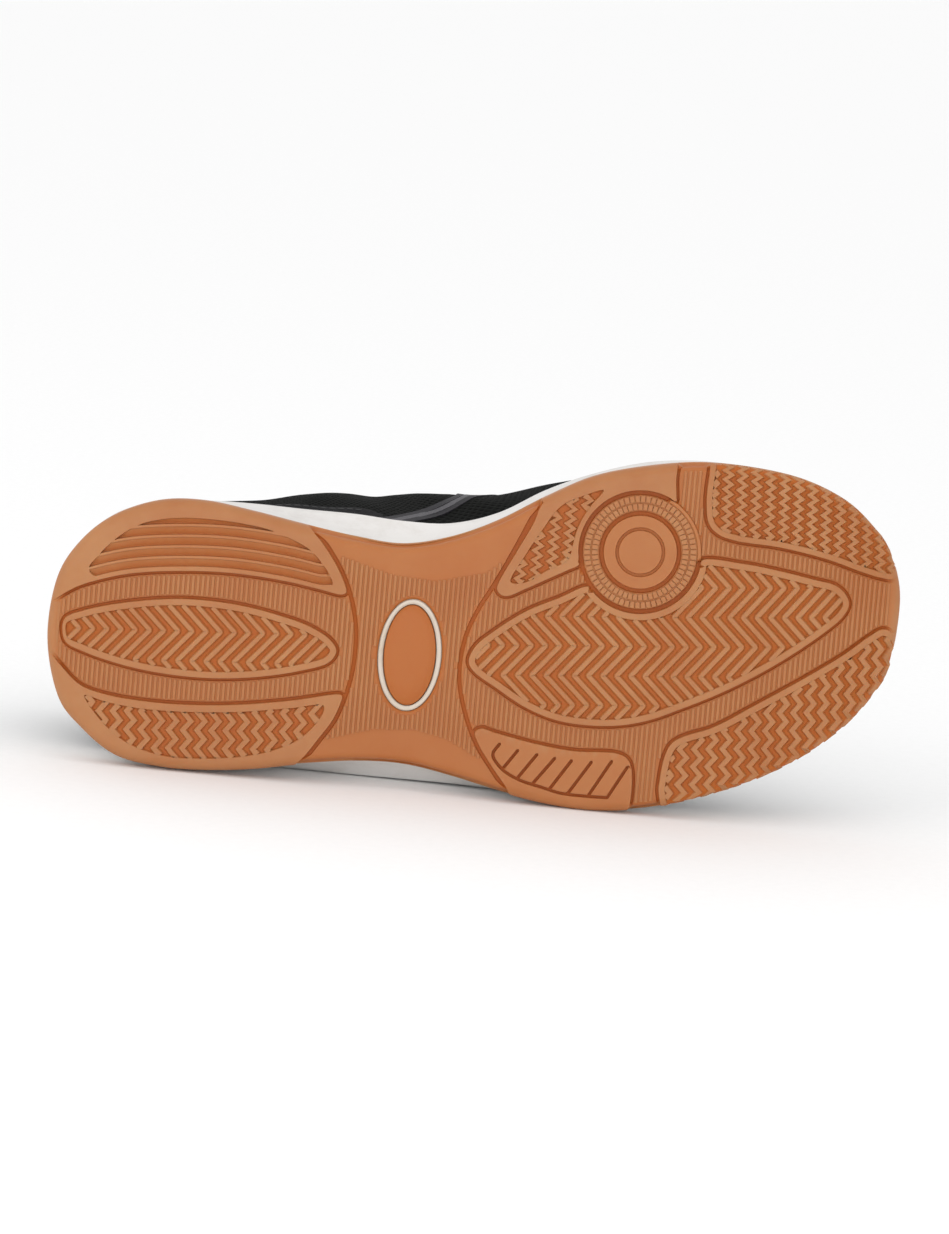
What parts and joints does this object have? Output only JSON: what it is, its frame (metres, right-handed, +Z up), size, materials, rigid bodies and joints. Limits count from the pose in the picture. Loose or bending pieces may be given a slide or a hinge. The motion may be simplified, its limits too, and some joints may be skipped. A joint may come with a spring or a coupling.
{
  "type": "athletic shoe",
  "caption": "Low indoor court shoe for the left foot, lying on its outer side, with a gum-rubber cup sole, foam midsole, laced textile upper and padded tongue.",
  "frame": {"origin": "centre of the bounding box at floor level, with the shoe lying on its outer side", "axes": "+X from heel to toe, +Z up out of the inner side of the foot, the tread faces -Y and the collar +Y"},
  "size_m": [0.248, 0.1132, 0.1044],
  "materials": {
    "gum_rubber": "moulded gum rubber, satin",
    "white_foam": "moulded foam, matte",
    "black_textile": "knitted mesh",
    "dark_lining": "brushed lining",
    "black_cord": "woven cord"
  },
  "bodies": {
    "root": {"outsole": "gum_rubber", "window_plug": "gum_rubber", "midsole": "white_foam", "upper": "black_textile", "insole": "dark_lining", "tongue": "black_textile", "laces": "black_cord"}
  },
  "joints": []
}
